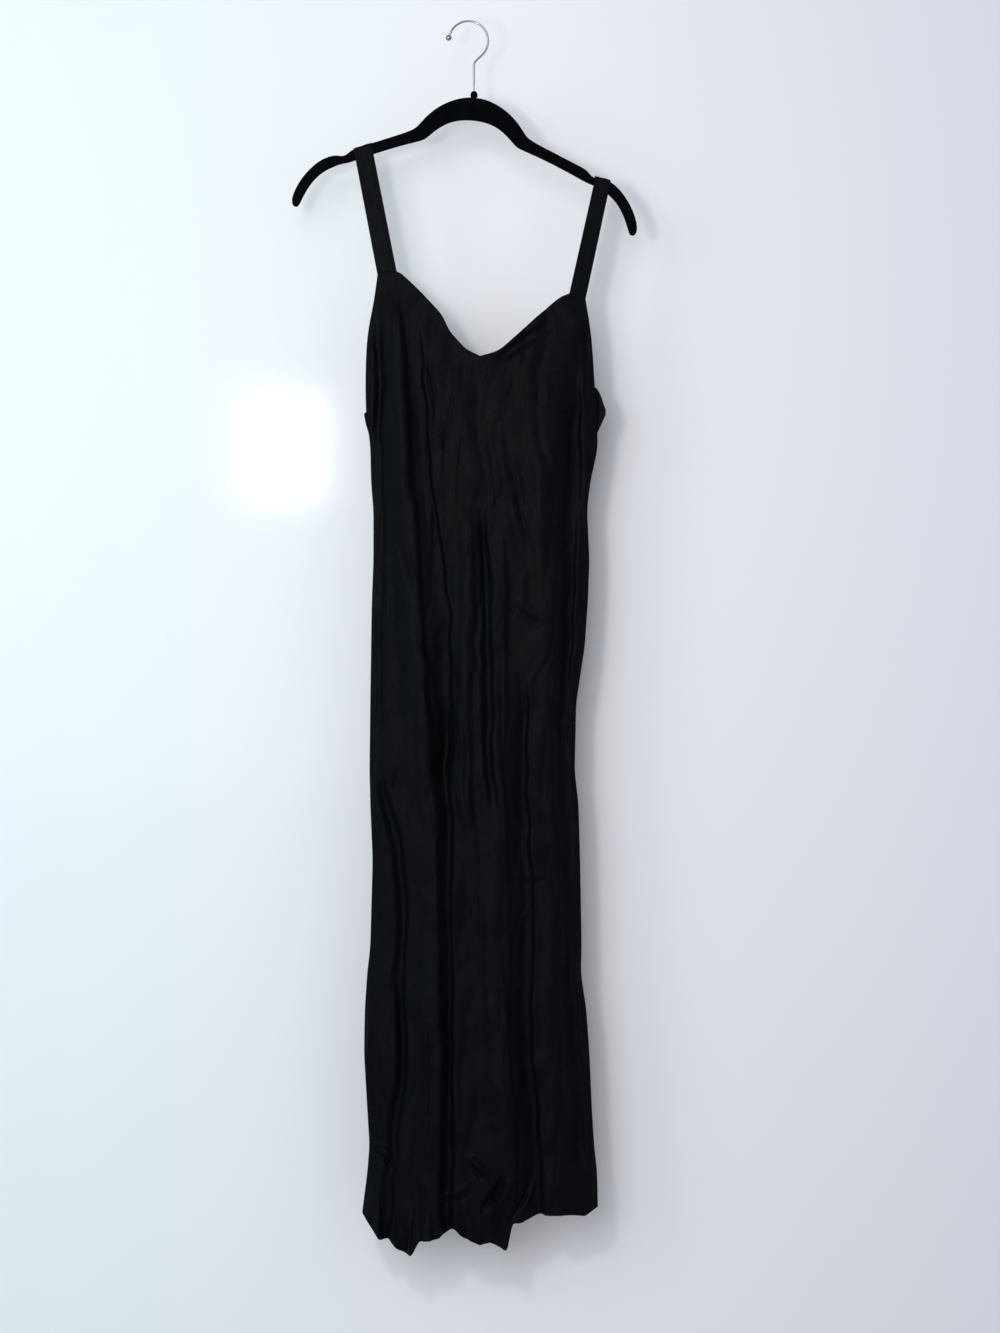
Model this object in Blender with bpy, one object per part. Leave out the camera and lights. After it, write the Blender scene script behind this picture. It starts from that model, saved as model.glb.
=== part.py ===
"""A slip dress hanging on a slim arched hanger.

The tables are in millimetres and the meshes in metres. The origin is the inner top of the hook's bend,
where a rail or wall hook carries it. +Z is up, the front of the dress faces -Y, and left and right are as
seen from the front. The cloth is a wall whose outer face comes from two height fields, one for the front
and one for the back: a shallow body that narrows to the side seams, plus a table of the largest folds.
"""

import math

import bmesh
import bpy

MM = 0.001
CLOTH = 2.0
STRAP_THICKNESS = 1.5
SEAM_GAP = 0.3
HALF_GAP = SEAM_GAP / 2

# Side lines of the dress. Above the underarm they are the front armhole edges, and below it the side seams.
UNDERARM = -527
SIDES = [
    # height, left, right
    (-320, -116, 146),
    (-356, -121, 150),
    (-394, -128, 156),
    (-425, -131, 159),
    (-470, -132, 162),
    (-503, -131, 165),
    (UNDERARM, -128, 165),
    (-544, -126, 166),
    (-590, -125, 156),
    (-625, -122, 152),
    (-690, -122, 155),
    (-742, -124, 153),
    (-800, -125, 149),
    (-873, -126, 138),
    (-960, -127, 136),
    (-1003, -126, 141),
    (-1073, -123, 143),
    (-1185, -126, 145),
    (-1219, -130, 144),
    (-1265, -133, 151),
    (-1322, -134, 155),
    (-1391, -130, 158),
    (-1439, -127, 161),
    (-1476, -130, 165),
    (-1530, -137, 166),
]

# How far the front and the back stand off the plane of the side seams, at their middle and at their edges.
DEPTHS = [
    # height, front middle, front edge, back middle, back edge
    (-320, 5, 5.0, 5, 5.0),
    (-400, 13, 4.2, 8, 4.5),
    (-470, 19, 2.2, 11, 3.0),
    (UNDERARM, 21, HALF_GAP, 14, HALF_GAP),
    (-700, 20, HALF_GAP, 16, HALF_GAP),
    (-900, 21, HALF_GAP, 17, HALF_GAP),
    (-1100, 23, HALF_GAP, 18, HALF_GAP),
    (-1300, 26, HALF_GAP, 20, HALF_GAP),
    (-1580, 29, HALF_GAP, 22, HALF_GAP),
]
BODY_POWER = 4

# The largest folds of the front. A height above zero is a ridge out of the front, and below zero a valley.
# reach is how far it spreads each side of its line, which runs through three points.
FRONT_FOLDS = [
    # height, reach, (top height, x), (middle height, x), (bottom height, x)
    (-7, 15, (-350, -110), (-715, -115), (-960, -111)),
    (10, 26, (-350, -95), (-925, -72), (-1600, -56)),
    (-11, 21, (-380, -86), (-792, -40), (-1600, -30)),
    (-6, 12, (-1030, -94), (-1150, -82), (-1600, -97)),
    (6, 20, (-1060, -112), (-1300, -110), (-1600, -112)),
    (7, 26, (-560, -10), (-869, -3), (-1600, 12)),
    (-9, 13, (-480, 6), (-690, 18), (-1010, 30)),
    (6, 14, (-560, 34), (-1073, 45), (-1500, 57)),
    (-8, 18, (-700, 58), (-1150, 64), (-1600, 68)),
    (6, 34, (-520, 92), (-1100, 100), (-1600, 106)),
    (-7, 17, (-440, 138), (-894, 120), (-1600, 134)),
]

# The folds of the back are alike, uneven in the same way, and higher towards +Y.
BACK_FOLDS = [
    # height, reach, (top height, x), (middle height, x), (bottom height, x)
    (7, 24, (-470, 96), (-900, 84), (-1600, 92)),
    (-7, 18, (-480, 62), (-860, 50), (-1600, 58)),
    (6, 22, (-560, 22), (-1000, 24), (-1600, 20)),
    (-8, 16, (-500, -8), (-800, -14), (-1600, -22)),
    (8, 24, (-470, -62), (-950, -54), (-1600, -58)),
    (-6, 15, (-640, -92), (-1100, -96), (-1600, -88)),
    (-6, 15, (-720, 118), (-1150, 116), (-1600, 124)),
]
FOLD_FADE = 80
SIDE_FADE = 22

# Front neckline from each strap point down to the V, then the centre front seam.
NECK_LEFT = [
    # x, height
    (-92, -320),
    (-84, -325),
    (-67, -341),
    (-51, -358),
    (-35, -376),
    (-24, -397),
    (-14, -409),
    (-2, -421),
    (15, -430),
]
NECK_RIGHT = [
    # x, height
    (131, -348),
    (116, -355),
    (99, -369),
    (80, -386),
    (58, -406),
    (38, -422),
    (15, -430),
]
STRAP_POINT_LEFT = (-116, -320)
STRAP_POINT_RIGHT = (150, -356)
CENTRE_FRONT_FOOT = 24

# The under-bust seam is nearly level and falls to the underarms at its ends.
SEAM_HEIGHT = -492
SEAM_POWER = 4

FRONT_HEM = [
    # x, height
    (-137, -1521),
    (-123, -1540),
    (-109, -1559),
    (-98, -1556),
    (-88, -1568),
    (-70, -1576),
    (-59, -1555),
    (-37, -1553),
    (-27, -1548),
    (-16, -1540),
    (-6, -1551),
    (17, -1563),
    (29, -1559),
    (51, -1570),
    (57, -1534),
    (67, -1535),
    (90, -1524),
    (130, -1525),
    (149, -1528),
    (166, -1518),
]
BACK_HEM = [
    # x, height
    (-137, -1521),
    (-110, -1540),
    (-70, -1551),
    (-18, -1539),
    (30, -1551),
    (62, -1531),
    (95, -1522),
    (135, -1523),
    (166, -1518),
]

# Top edge of the back as a share of its width: it stands a little past the front at both armholes.
BACK_CORNER = -503
BACK_CORNER_LEFT = -134
BACK_CORNER_RIGHT = 176
BACK_TOP = [
    # share, height
    (0.0, BACK_CORNER),
    (0.04, -486),
    (0.14, -471),
    (0.23, -469),
    (0.5, -476),
    (0.75, -469),
    (0.84, -470),
    (0.96, -466),
    (0.99, -484),
    (1.0, BACK_CORNER),
]

# Each strap: x of its two edges on the hanger, at the front strap point and on the back's top edge.
STRAPS = [
    # name, over the hanger, front end as points, x at the back edge
    ("strap_left", (-147, -124), (STRAP_POINT_LEFT, NECK_LEFT[0]), (-89, -66)),
    ("strap_right", (162, 182), (NECK_RIGHT[0], STRAP_POINT_RIGHT), (102, 122)),
]

# The hanger is drawn level, from its centre to one tip, then mirrored and tilted about its neck.
HANGER_THICKNESS = 5.0
HANGER_CENTRE = (7, -101.4)
HANGER_TILT = math.radians(4.9)
HANGER = [
    # upper edge x, height, lower edge x, height
    (0, 5, 0, -25),
    (20, 2, 17, -26.5),
    (41, -8, 33, -32),
    (56, -21, 46, -42),
    (65, -32, 54, -50),
    (71, -41, 60, -56),
    (83, -47.5, 78, -61.5),
    (110, -58.5, 106, -72),
    (140, -71, 135, -84.5),
    (151, -75.5, 147, -90),
    (157, -82.5, 153, -92.5),
    (162, -85.3, 158, -94),
    (169, -84.2, 165, -96),
    (177, -85.8, 172, -99.5),
    (187, -90.5, 180, -104),
    (197, -98.5, 189, -111),
    (208, -111.5, 197.5, -121),
    (217, -127, 204, -132.5),
    (222, -142, 209, -144.5),
    (221.5, -150, 211.5, -151.5),
    (219, -154, 214, -154.5),
]
HANGER_SIDES = 10

NECK_RADIUS = 4.6
NECK_BOTTOM = -96.2
NECK_TOP = -88.6

WIRE_RADIUS = 1.4
HOOK_RADIUS = 25.0
HOOK_STEM_TOP = -60
HOOK_END_ANGLE = 162
HOOK_STEPS = 24
BALL_RADIUS = 4.0

SKIRT_COLUMNS_EACH_SIDE = 16
SKIRT_ROWS = 20
BODICE_ROWS_ON_NECK = 8
BODICE_ROWS_ON_SEAM = 3
BACK_COLUMNS = 28
BACK_ROWS = 22
STRAP_ROWS = 7
STRAP_ARC_STEPS = 6


def clear_scene():
    for obj in list(bpy.data.objects):
        bpy.data.objects.remove(obj)


def material(name, color, roughness, metallic=0.0):
    made = bpy.data.materials.new(name)
    made.use_nodes = True
    shader = made.node_tree.nodes["Principled BSDF"]
    shader.inputs["Base Color"].default_value = (*color, 1)
    shader.inputs["Roughness"].default_value = roughness
    shader.inputs["Metallic"].default_value = metallic
    return made


def mesh_object(name, points, faces, finish, smooth=True):
    """One closed mesh object from points in millimetres."""
    mesh = bpy.data.meshes.new(name)
    mesh.from_pydata([[c * MM for c in p] for p in points], [], faces)
    shape = bmesh.new()
    shape.from_mesh(mesh)
    bmesh.ops.recalc_face_normals(shape, faces=shape.faces)
    shape.to_mesh(mesh)
    shape.free()
    if smooth:
        mesh.shade_smooth()
        mesh.set_sharp_from_angle(angle=math.radians(50))
    mesh.materials.append(finish)
    made = bpy.data.objects.new(name, mesh)
    bpy.context.scene.collection.objects.link(made)
    return made


def ease(t):
    t = min(1.0, max(0.0, t))
    return t * t * (3 - 2 * t)


def between(a, b, t):
    return a + (b - a) * t


def read(table, key, column):
    """A column of a table at a key, with straight runs between its rows. The keys rise or fall."""
    rows = table if table[0][0] < table[-1][0] else table[::-1]
    if key <= rows[0][0]:
        return rows[0][column]
    for low, high in zip(rows, rows[1:]):
        if key <= high[0]:
            return between(low[column], high[column], (key - low[0]) / (high[0] - low[0]))
    return rows[-1][column]


def side_lines(height):
    return read(SIDES, height, 1), read(SIDES, height, 2)


def back_side_lines(height):
    """The side seams, and above the underarm the back's armhole edges, which stand past the front's."""
    left, right = side_lines(height)
    if height > UNDERARM:
        lift = min(1.0, (height - UNDERARM) / (BACK_CORNER - UNDERARM))
        left = between(read(SIDES, UNDERARM, 1), BACK_CORNER_LEFT, lift)
        right = between(read(SIDES, UNDERARM, 2), BACK_CORNER_RIGHT, lift)
    return left, right


def fold_line(fold, height):
    """x of a fold's line at a height, on the parabola through its three points."""
    (za, xa), (zb, xb), (zc, xc) = fold[2:]
    height = min(za, max(zc, height))
    a = (height - zb) * (height - zc) / ((za - zb) * (za - zc))
    b = (height - za) * (height - zc) / ((zb - za) * (zb - zc))
    c = (height - za) * (height - zb) / ((zc - za) * (zc - zb))
    return a * xa + b * xb + c * xc


def folds_at(folds, x, height):
    total = 0.0
    for fold in folds:
        rise, reach, top, _, bottom = fold
        away = abs(x - fold_line(fold, height)) / reach
        if away >= 1:
            continue
        ends = ease((top[0] - height) / FOLD_FADE) * ease((height - bottom[0]) / FOLD_FADE)
        total += rise * ends * 0.5 * (1 + math.cos(math.pi * away))
    return total


def stand_off(x, height, lines, folds, middle_column):
    """Distance of the outer face from the plane of the side seams."""
    left, right = lines(height)
    share = min(1.0, max(0.0, (x - left) / (right - left)))
    middle = read(DEPTHS, height, middle_column)
    edge = read(DEPTHS, height, middle_column + 1)
    body = edge + middle * (1 - abs(2 * share - 1) ** BODY_POWER)
    inside = ease(min(x - left, right - x) / SIDE_FADE)
    return body + inside * folds_at(folds, x, height)


def front_off(x, height):
    return stand_off(x, height, side_lines, FRONT_FOLDS, 1)


def back_off(x, height):
    return stand_off(x, height, back_side_lines, BACK_FOLDS, 3)


def cloth_point_pair(x, height, off, facing, lines):
    """The outer and inner point of the wall. The inner one stays on its side of the side seams' plane."""
    step = 0.5
    left, right = lines(height)
    low = max(left, x - step)
    high = min(right, x + step)
    slope = (off(high, height) - off(low, height)) / (high - low)
    size = math.hypot(slope, 1)
    out = off(x, height)
    inner_x = x + CLOTH * slope / size
    inner_out = out - CLOTH / size
    if inner_out < HALF_GAP:
        inner_x += (HALF_GAP - inner_out) / slope
        inner_out = HALF_GAP
    return (x, facing * out, height), (inner_x, facing * inner_out, height)


def cloth_grid(name, grid, off, facing, lines, finish):
    """A wall of cloth over a grid of (x, height), its rows running down and its columns running to +X."""
    rows, columns = len(grid), len(grid[0])
    pairs = [cloth_point_pair(x, z, off, facing, lines) for row in grid for x, z in row]
    points = [pair[0] for pair in pairs] + [pair[1] for pair in pairs]
    inner = len(pairs)
    faces = []
    for r in range(rows - 1):
        for c in range(columns - 1):
            a = r * columns + c
            quad = (a, a + columns, a + columns + 1, a + 1)
            faces.append(quad)
            faces.append(tuple(inner + i for i in reversed(quad)))
    border = list(range(columns))
    border += [r * columns + columns - 1 for r in range(1, rows)]
    border += [(rows - 1) * columns + c for c in range(columns - 2, -1, -1)]
    border += [r * columns for r in range(rows - 2, 0, -1)]
    for a, b in zip(border, border[1:] + border[:1]):
        # Both sides of a seam split their edge faces the same way, so that these stay parallel.
        low, high = (a, b) if points[a][0] <= points[b][0] else (b, a)
        faces.append((low, high, inner + high))
        faces.append((low, inner + high, inner + low))
    return mesh_object(name, points, faces, finish)


def seam_height(x):
    left, right = side_lines(UNDERARM)
    share = 2 * (x - left) / (right - left) - 1
    return SEAM_HEIGHT + (UNDERARM - SEAM_HEIGHT) * abs(share) ** SEAM_POWER


def seam_edge(x, way):
    """The edge of the piece above (way 1) or below (way -1) the under-bust seam, wider apart on its slope."""
    slope = seam_height(x + 0.5) - seam_height(x - 0.5)
    return seam_height(x) + way * HALF_GAP * math.hypot(1, 3 * slope)


def path_points(path, count):
    """Points along a polyline at even shares of its length."""
    lengths = [math.dist(a, b) for a, b in zip(path, path[1:])]
    total = sum(lengths)
    made = []
    for i in range(count):
        want = total * i / (count - 1)
        for a, b, length in zip(path, path[1:], lengths):
            if want <= length + 1e-9:
                break
            want -= length
        share = min(1.0, want / length)
        made.append((between(a[0], b[0], share), between(a[1], b[1], share)))
    return made


def patch(top, bottom, left, right):
    """A grid of (x, height) between four edges that meet at their ends."""
    rows, columns = len(left), len(top)
    grid = []
    for r in range(rows):
        v = r / (rows - 1)
        row = []
        for c in range(columns):
            u = c / (columns - 1)
            point = []
            for k in (0, 1):
                across = between(left[r][k], right[r][k], u)
                down = between(top[c][k], bottom[c][k], v)
                corners = between(
                    between(top[0][k], top[-1][k], u), between(bottom[0][k], bottom[-1][k], u), v
                )
                point.append(across + down - corners)
            row.append(tuple(point))
        grid.append(row)
    return grid


def skirt_columns():
    """x of the skirt's columns along the under-bust seam: evenly from each side to the centre front."""
    left, right = side_lines(UNDERARM)
    count = SKIRT_COLUMNS_EACH_SIDE
    to_centre = [between(left, CENTRE_FRONT_FOOT, i / count) for i in range(count)]
    from_centre = [between(CENTRE_FRONT_FOOT, right, i / count) for i in range(count + 1)]
    return to_centre + from_centre


def armhole_edge(side, start, count):
    """Points down the armhole edge, from the strap point to the underarm."""
    line = [(row[1 + side], row[0]) for row in SIDES if row[0] <= start[1] and row[0] >= UNDERARM]
    path = [start] + [p for p in line if p[1] < start[1]]
    path[-1] = (path[-1][0], seam_edge(path[-1][0], 1))
    return path_points(path, count)


def front_bodice(side, finish):
    """One half of the front bodice. side is 0 on the left and 1 on the right."""
    columns = skirt_columns()
    centre = SKIRT_COLUMNS_EACH_SIDE
    shift = -HALF_GAP if side == 0 else HALF_GAP
    seam = columns[: centre + 1] if side == 0 else columns[centre:]
    bottom = [(x, seam_edge(x, 1)) for x in seam]
    foot = (CENTRE_FRONT_FOOT + shift, seam_edge(CENTRE_FRONT_FOOT, 1))
    neck = NECK_LEFT if side == 0 else NECK_RIGHT
    neck = [(x + shift * (i == len(neck) - 1), z) for i, (x, z) in enumerate(neck)]
    neck_edge = path_points(neck, BODICE_ROWS_ON_NECK + 1)
    centre_edge = path_points([neck[-1], foot], BODICE_ROWS_ON_SEAM + 1)
    inner_edge = neck_edge + centre_edge[1:]
    start = STRAP_POINT_LEFT if side == 0 else STRAP_POINT_RIGHT
    outer_edge = armhole_edge(side, start, len(inner_edge))
    if side == 0:
        bottom[-1] = foot
        top = path_points([start, neck[0]], len(bottom))
        grid = patch(top, bottom, outer_edge, inner_edge)
    else:
        bottom[0] = foot
        top = path_points([neck[0], start], len(bottom))
        grid = patch(top, bottom, inner_edge, outer_edge)
    name = "front_bodice_left" if side == 0 else "front_bodice_right"
    return cloth_grid(name, grid, front_off, -1, side_lines, finish)


def panel_grid(shares, top_of, hem, lines, rows):
    """A grid whose columns keep their share of the width from the top edge down to the hem."""
    grid = []
    for r in range(rows + 1):
        row = []
        for share in shares:
            left, right = lines(-1500)
            foot = read(hem, between(left, right, share), 1)
            height = between(top_of(share), foot, r / rows)
            left, right = lines(height)
            row.append((between(left, right, share), height))
        grid.append(row)
    return grid


def front_skirt(finish):
    left, right = side_lines(UNDERARM)
    columns = skirt_columns()
    shares = [(x - left) / (right - left) for x in columns]

    def top_of(share):
        return seam_edge(between(left, right, share), -1)

    grid = panel_grid(shares, top_of, FRONT_HEM, side_lines, SKIRT_ROWS)
    for c, x in enumerate(columns):
        grid[0][c] = (x, grid[0][c][1])
    return cloth_grid("front_skirt", grid, front_off, -1, side_lines, finish)


def back_panel(finish):
    shares = [i / BACK_COLUMNS for i in range(BACK_COLUMNS + 1)]

    def top_of(share):
        return read(BACK_TOP, share, 1)

    grid = panel_grid(shares, top_of, BACK_HEM, back_side_lines, BACK_ROWS)
    return cloth_grid("back_panel", grid, back_off, 1, back_side_lines, finish)


def hanger_place(x, height):
    """A point of the level hanger, tilted about its neck and put in place."""
    cos, sin = math.cos(HANGER_TILT), math.sin(HANGER_TILT)
    return (
        HANGER_CENTRE[0] + x * cos + height * sin,
        HANGER_CENTRE[1] - x * sin + height * cos,
    )


def hanger_top(x):
    """Height of the hanger's upper edge above a point of the frame."""
    edge = [hanger_place(sign * row[0], row[1]) for sign in (-1, 1) for row in HANGER[:16]]
    return read(sorted(edge), x, 1)


def strap_seat(over):
    """Heights of a strap's two edges on the hanger: a straight line over the hanger's highest point there."""
    ends = [hanger_top(x) for x in over]
    shares = [i / 20 for i in range(21)]
    lift = max(hanger_top(between(*over, share)) - between(*ends, share) for share in shares)
    return [end + lift for end in ends]


def strap(name, over, front_ends, back_xs, finish):
    """A ribbon from the front strap point, over the hanger and down to the back's top edge."""
    half = HANGER_THICKNESS / 2
    near = half + SEAM_GAP
    far = near + STRAP_THICKNESS
    seat = strap_seat(over)
    edges = []
    for i in (0, 1):
        x_top = over[i]
        bend = seat[i] - half
        fx, fz = front_ends[i][0], front_ends[i][1] + HALF_GAP
        front = front_off(fx, fz)
        line = []
        for k in range(STRAP_ROWS):
            t = k / STRAP_ROWS
            out = between(front, far, t)
            x, z = between(fx, x_top, t), between(fz, bend, t)
            line.append(((x, -out, z), (x, -out + STRAP_THICKNESS, z)))
        for k in range(STRAP_ARC_STEPS + 1):
            angle = math.pi * k / STRAP_ARC_STEPS
            c, s = math.cos(angle), math.sin(angle)
            outer = (x_top, -far * c, bend + far * s)
            line.append((outer, (x_top, -near * c, bend + near * s)))
        bx = back_xs[i]
        left, right = back_side_lines(BACK_CORNER + 30)
        bz = read(BACK_TOP, (bx - left) / (right - left), 1) + SEAM_GAP
        back = back_off(bx, bz)
        for k in range(1, STRAP_ROWS + 1):
            t = k / STRAP_ROWS
            out = between(far, back, t)
            x, z = between(x_top, bx, t), between(bend, bz, t)
            line.append(((x, out, z), (x, out - STRAP_THICKNESS, z)))
        edges.append(line)
    points = []
    for a, b in zip(*edges):
        points += [a[0], b[0], b[1], a[1]]
    faces = rings(len(edges[0]), 4)
    return mesh_object(name, points, faces, finish)


def rings(count, sides):
    """Faces of a tube of rings, closed by a face at each end."""
    faces = []
    for r in range(count - 1):
        for i in range(sides):
            a, b = r * sides + i, r * sides + (i + 1) % sides
            faces.append((a, b, b + sides, a + sides))
    faces.append(tuple(range(sides - 1, -1, -1)))
    faces.append(tuple(range((count - 1) * sides, count * sides)))
    return faces


def hanger_body(finish):
    """Rounded sections along the hanger, from its left tip to its right one."""
    half = HANGER_THICKNESS / 2
    stations = [(-a, b, -c, d) for a, b, c, d in HANGER[:0:-1]] + HANGER
    points = []
    for ux, uz, lx, lz in stations:
        top = hanger_place(ux, uz)
        low = hanger_place(lx, lz)
        middle = [(p + q) / 2 for p, q in zip(top, low)]
        reach = math.dist(top, low) / 2
        unit = [(p - m) / reach for p, m in zip(top, middle)]
        flat = max(0.0, reach - half)
        width = min(half, reach)
        for i in range(HANGER_SIDES):
            angle = 2 * math.pi * (i + 0.5) / HANGER_SIDES
            rise = math.cos(angle) * width + math.copysign(flat, math.cos(angle))
            x, z = middle[0] + unit[0] * rise, middle[1] + unit[1] * rise
            points.append((x, math.sin(angle) * half, z))
    return mesh_object("hanger_body", points, rings(len(stations), HANGER_SIDES), finish)


def turned(name, profile, centre, finish, sides=16):
    """A solid turned about a vertical axis from a profile of (radius, height), closed at its ends."""
    points = []
    for radius, height in profile:
        for i in range(sides):
            angle = 2 * math.pi * i / sides
            x, y = centre[0] + radius * math.cos(angle), radius * math.sin(angle)
            points.append((x, y, centre[1] + height))
    return mesh_object(name, points, rings(len(profile), sides), finish)


def hook_route():
    """The hook's centre line: a straight stem, a short reverse bend and a long round bend over the origin."""
    centre = (0.0, -HOOK_RADIUS + WIRE_RADIUS)
    stem_x = HANGER_CENTRE[0]
    join_angle = -50
    jx = centre[0] + HOOK_RADIUS * math.cos(math.radians(join_angle))
    jz = centre[1] + HOOK_RADIUS * math.sin(math.radians(join_angle))
    stem = [(stem_x, NECK_TOP + SEAM_GAP), (stem_x, between(NECK_TOP, HOOK_STEM_TOP, 0.5))]
    out = (-math.sin(math.radians(join_angle)), math.cos(math.radians(join_angle)))
    bend = []
    pull = 14
    steps = 8
    for i in range(steps):
        t = i / steps
        a, b, c, d = (1 - t) ** 3, 3 * t * (1 - t) ** 2, 3 * t * t * (1 - t), t**3
        x = a * stem_x + b * stem_x + c * (jx - out[0] * pull) + d * jx
        z = a * HOOK_STEM_TOP + b * (HOOK_STEM_TOP + pull / 2) + c * (jz - out[1] * pull) + d * jz
        bend.append((x, z))
    arc = []
    for i in range(HOOK_STEPS + 1):
        angle = math.radians(between(join_angle, HOOK_END_ANGLE, i / HOOK_STEPS))
        x, z = HOOK_RADIUS * math.cos(angle), HOOK_RADIUS * math.sin(angle)
        arc.append((centre[0] + x, centre[1] + z))
    return stem + bend + arc


def hook(finish):
    route = hook_route()
    data = bpy.data.curves.new("hook_wire", "CURVE")
    data.dimensions = "3D"
    spline = data.splines.new("POLY")
    spline.points.add(len(route) - 1)
    for point, (x, z) in zip(spline.points, route):
        point.co = (x * MM, 0, z * MM, 1)
    data.bevel_depth = WIRE_RADIUS * MM
    data.bevel_resolution = 2
    data.use_fill_caps = True
    data.materials.append(finish)
    wire = bpy.data.objects.new("hook_wire", data)
    bpy.context.scene.collection.objects.link(wire)
    (ax, az), (bx, bz) = route[-2:]
    length = math.dist((ax, az), (bx, bz))
    reach = BALL_RADIUS + SEAM_GAP
    ball_at = (bx + (bx - ax) / length * reach, bz + (bz - az) / length * reach)
    steps = 8
    profile = []
    for i in range(steps + 1):
        angle = math.pi * min(steps - 0.3, max(0.3, i)) / steps
        profile.append((BALL_RADIUS * math.sin(angle), -BALL_RADIUS * math.cos(angle)))
    ball = turned("hook_ball", profile, ball_at, finish)
    return wire, ball


def hanger_neck(finish):
    height = NECK_TOP - NECK_BOTTOM
    profile = [
        (NECK_RADIUS, 0),
        (NECK_RADIUS, height * 0.45),
        (NECK_RADIUS * 0.86, height * 0.75),
        (NECK_RADIUS * 0.5, height),
    ]
    return turned("hanger_neck", profile, (HANGER_CENTRE[0], NECK_BOTTOM), finish)


def main():
    clear_scene()
    satin = material("black crinkled satin", (0.012, 0.015, 0.019), 0.55)
    flock = material("black flocked plastic", (0.008, 0.008, 0.009), 0.95)
    steel = material("chromed steel wire", (0.75, 0.76, 0.78), 0.12, 1.0)
    front_bodice(0, satin)
    front_bodice(1, satin)
    front_skirt(satin)
    back_panel(satin)
    for row in STRAPS:
        strap(*row, satin)
    hanger_body(flock)
    hanger_neck(flock)
    hook(steel)


main()
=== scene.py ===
"""The looks of a slip dress hanging on a flocked hanger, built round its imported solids.

The tables are in millimetres and the meshes in metres. The front of the dress faces -Y, +Z is up, and left
and right are as seen from the front. Each panel is a thin shell over a height field: a shallow body, the
large folds, the smaller creases placed one by one, and the crushed look of washed satin between them.
"""

import math

import bmesh
import bpy
import numpy as np
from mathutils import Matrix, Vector


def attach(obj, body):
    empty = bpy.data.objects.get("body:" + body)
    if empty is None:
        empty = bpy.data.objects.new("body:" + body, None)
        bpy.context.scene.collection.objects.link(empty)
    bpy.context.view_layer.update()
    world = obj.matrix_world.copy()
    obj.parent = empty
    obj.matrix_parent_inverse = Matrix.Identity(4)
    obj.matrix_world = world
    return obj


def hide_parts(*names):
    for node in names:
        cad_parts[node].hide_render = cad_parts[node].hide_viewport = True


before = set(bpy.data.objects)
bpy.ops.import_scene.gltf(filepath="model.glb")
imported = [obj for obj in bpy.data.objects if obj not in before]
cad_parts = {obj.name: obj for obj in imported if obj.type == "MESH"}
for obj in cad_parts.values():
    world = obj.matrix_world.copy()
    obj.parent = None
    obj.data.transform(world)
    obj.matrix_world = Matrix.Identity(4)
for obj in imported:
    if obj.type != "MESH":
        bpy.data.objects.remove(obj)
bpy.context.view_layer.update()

MM = 0.001
CLOTH = 0.6
STRAP_THICKNESS = 1.1
# Half of the gap between the front and the back at the side seams, and between two pieces at a seam.
HALF_GAP = 0.15
SEAM_GAP = 0.02
UNDERARM = -527

SIDES = [
    # height, left, right
    (-320, -116, 146),
    (-356, -121, 150),
    (-394, -128, 156),
    (-425, -131, 159),
    (-470, -132, 162),
    (-503, -131, 165),
    (UNDERARM, -128, 165),
    (-544, -126, 166),
    (-590, -125, 156),
    (-625, -122, 152),
    (-690, -122, 155),
    (-742, -124, 153),
    (-800, -125, 149),
    (-873, -126, 138),
    (-960, -127, 136),
    (-1003, -126, 141),
    (-1073, -123, 143),
    (-1185, -126, 145),
    (-1219, -130, 144),
    (-1265, -133, 151),
    (-1322, -134, 155),
    (-1391, -130, 158),
    (-1439, -127, 161),
    (-1476, -130, 165),
    (-1530, -137, 166),
]

DEPTHS = [
    # height, front middle, front edge, back middle, back edge
    (-320, 5, 5.0, 5, 5.0),
    (-400, 13, 4.2, 8, 4.5),
    (-470, 19, 2.2, 11, 3.0),
    (UNDERARM, 21, HALF_GAP, 14, HALF_GAP),
    (-700, 20, HALF_GAP, 16, HALF_GAP),
    (-900, 21, HALF_GAP, 17, HALF_GAP),
    (-1100, 23, HALF_GAP, 18, HALF_GAP),
    (-1300, 26, HALF_GAP, 20, HALF_GAP),
    (-1580, 29, HALF_GAP, 22, HALF_GAP),
]
BODY_POWER = 4

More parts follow.
